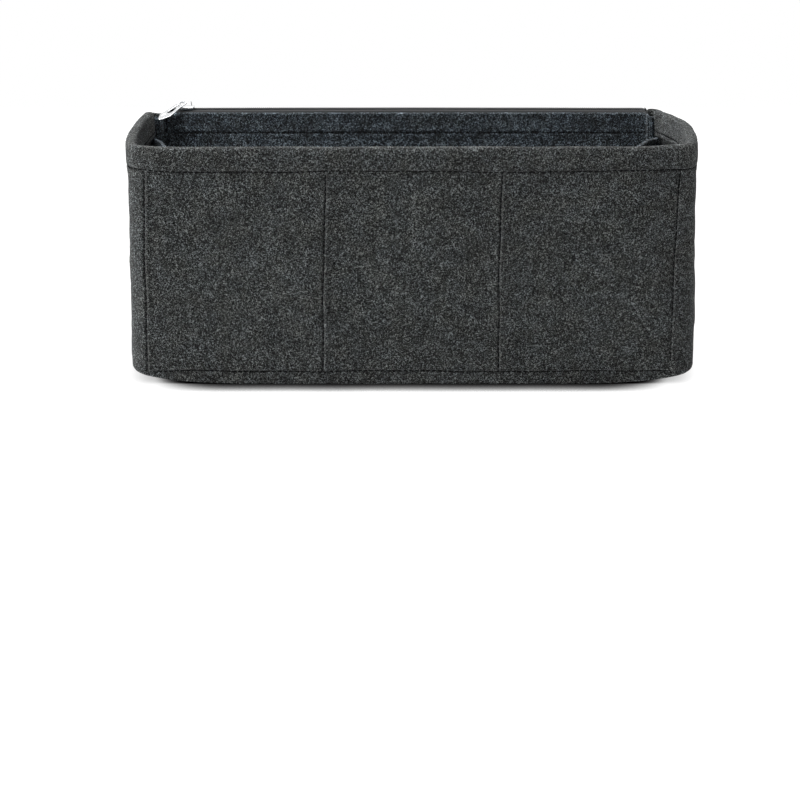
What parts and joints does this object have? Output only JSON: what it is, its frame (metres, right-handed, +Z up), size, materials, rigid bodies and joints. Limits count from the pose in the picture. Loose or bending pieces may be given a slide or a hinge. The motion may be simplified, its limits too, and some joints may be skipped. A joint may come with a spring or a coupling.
{
  "type": "purse organizer insert",
  "caption": "Open-topped felt handbag insert with a hemmed wall, a row of front pockets, a bowed divider in each end and a zipped rear pocket.",
  "frame": {"origin": "middle of the underside, on the surface that the insert stands on", "axes": "+X along the front wall, left to right seen from the front; +Y from the front wall to the zipped rear wall; +Z up"},
  "size_m": [0.341, 0.141, 0.1415],
  "materials": {
    "wall_felt": "heathered charcoal felt, short fibres, matt",
    "inner_felt": "thinner charcoal felt, slightly bluish, matt",
    "zip_tape": "black woven zip tape",
    "zip_coil": "dark coil zip teeth, slight shine",
    "thread": "dark sewing thread",
    "bright_metal": "polished bright metal"
  },
  "bodies": {
    "root": {"wall_band": "wall_felt", "rear_wall": "wall_felt", "base_tray": "wall_felt", "front_pocket_panel": "inner_felt", "left_end_divider": "inner_felt", "right_end_divider": "inner_felt", "zip_pocket_panel": "inner_felt", "zip_tape_front": "zip_tape", "zip_tape_rear": "zip_tape", "zip_coil_front": "zip_coil", "zip_coil_rear": "zip_coil", "zip_left_end_tack": "thread", "zip_right_end_tack": "thread", "hem_seam_thread": "thread", "base_seam_thread": "thread", "rear_base_seam_thread": "thread", "left_panel_seam_thread": "thread", "left_bay_seam_thread": "thread", "right_bay_seam_thread": "thread", "right_panel_seam_thread": "thread", "rear_left_seam_thread": "thread", "rear_right_seam_thread": "thread", "zip_panel_seam_thread": "thread", "zip_rear_seam_thread": "thread"},
    "slider": {"zip_slider": "bright_metal"},
    "pull": {"zip_pull": "bright_metal"}
  },
  "joints": [
    {"name": "zip_slide", "type": "slide", "parent": "root", "child": "slider", "axis": [1, 0, 0], "range_m": [0, 0.276]},
    {"name": "pull_swing", "type": "hinge", "parent": "slider", "child": "pull", "pos_m": [-0.1396, 0.0631, 0.14005], "axis": [-0.6947, 0.7193, 0], "range_deg": [0, 125]}
  ]
}
